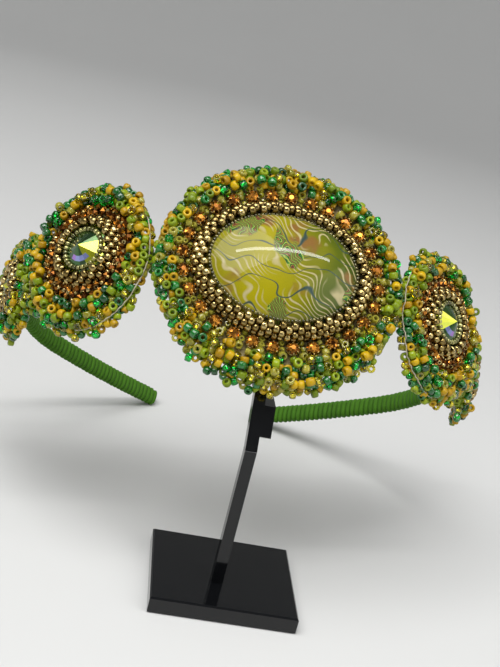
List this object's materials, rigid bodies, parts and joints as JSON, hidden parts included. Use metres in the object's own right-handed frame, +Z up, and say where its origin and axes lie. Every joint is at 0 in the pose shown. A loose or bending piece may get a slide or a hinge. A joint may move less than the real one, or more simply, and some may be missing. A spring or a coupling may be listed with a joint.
{
  "type": "beaded headband on display stand",
  "caption": "Slim cord-wound hair band with an oval glass medallion and smaller round ones in seed beads, leaning on a plain post stand.",
  "frame": {"origin": "middle of the underside of the stand's base, on the surface that the part rests on", "axes": "+Z up, +X to the viewer's right when the medallion faces the viewer, +Y backwards from the medallion to the band's tips"},
  "size_m": [0.1426, 0.1214, 0.1062],
  "materials": {
    "black_acrylic": "polished black acrylic",
    "green_cord": "matt cord wound in close turns",
    "beige_felt": "matt beading felt",
    "gold_beads": "seed beads with a metallic gold coating",
    "printed_glass": "clear domed glass over a printed picture",
    "topaz_crystal": "foiled topaz crystals in cups",
    "lime_crystal": "foiled lime stone with a rainbow coating",
    "seed_beads": "mixed yellow, lime and green seed beads, opaque, clear and lined"
  },
  "bodies": {
    "root": {"stand_base": "black_acrylic", "stand_post": "black_acrylic", "stand_arm": "black_acrylic", "stand_ledge": "black_acrylic", "hair_band": "green_cord", "center_backing": "beige_felt", "left_side_backing": "beige_felt", "right_side_backing": "beige_felt", "left_end_backing": "beige_felt", "right_end_backing": "beige_felt", "center_bezel": "gold_beads", "left_side_bezel": "gold_beads", "right_side_bezel": "gold_beads", "left_end_bezel": "gold_beads", "right_end_bezel": "gold_beads", "cabochon": "printed_glass", "center_crystal_01": "topaz_crystal", "center_crystal_02": "topaz_crystal", "center_crystal_03": "topaz_crystal", "center_crystal_04": "topaz_crystal", "center_crystal_05": "topaz_crystal", "center_crystal_06": "topaz_crystal", "center_crystal_07": "topaz_crystal", "center_crystal_08": "topaz_crystal", "center_crystal_09": "topaz_crystal", "center_crystal_10": "topaz_crystal", "center_crystal_11": "topaz_crystal", "center_crystal_12": "topaz_crystal", "center_crystal_13": "topaz_crystal", "center_crystal_14": "topaz_crystal", "center_crystal_15": "topaz_crystal", "center_crystal_16": "topaz_crystal", "center_crystal_17": "topaz_crystal", "center_crystal_18": "topaz_crystal", "center_crystal_19": "topaz_crystal", "center_crystal_20": "topaz_crystal", "center_crystal_21": "topaz_crystal", "center_crystal_22": "topaz_crystal", "center_crystal_23": "topaz_crystal", "center_crystal_24": "topaz_crystal", "center_crystal_25": "topaz_crystal", "center_crystal_26": "topaz_crystal", "center_crystal_27": "topaz_crystal", "center_crystal_28": "topaz_crystal", "left_side_crystal_ring": "topaz_crystal", "right_side_crystal_ring": "topaz_crystal", "left_side_stone": "lime_crystal", "right_side_stone": "lime_crystal", "left_end_stone": "lime_crystal", "right_end_stone": "lime_crystal", "center_bead_border": "seed_beads", "left_side_bead_border": "seed_beads", "right_side_bead_border": "seed_beads", "left_end_bead_border": "seed_beads", "right_end_bead_border": "seed_beads"}
  },
  "joints": []
}
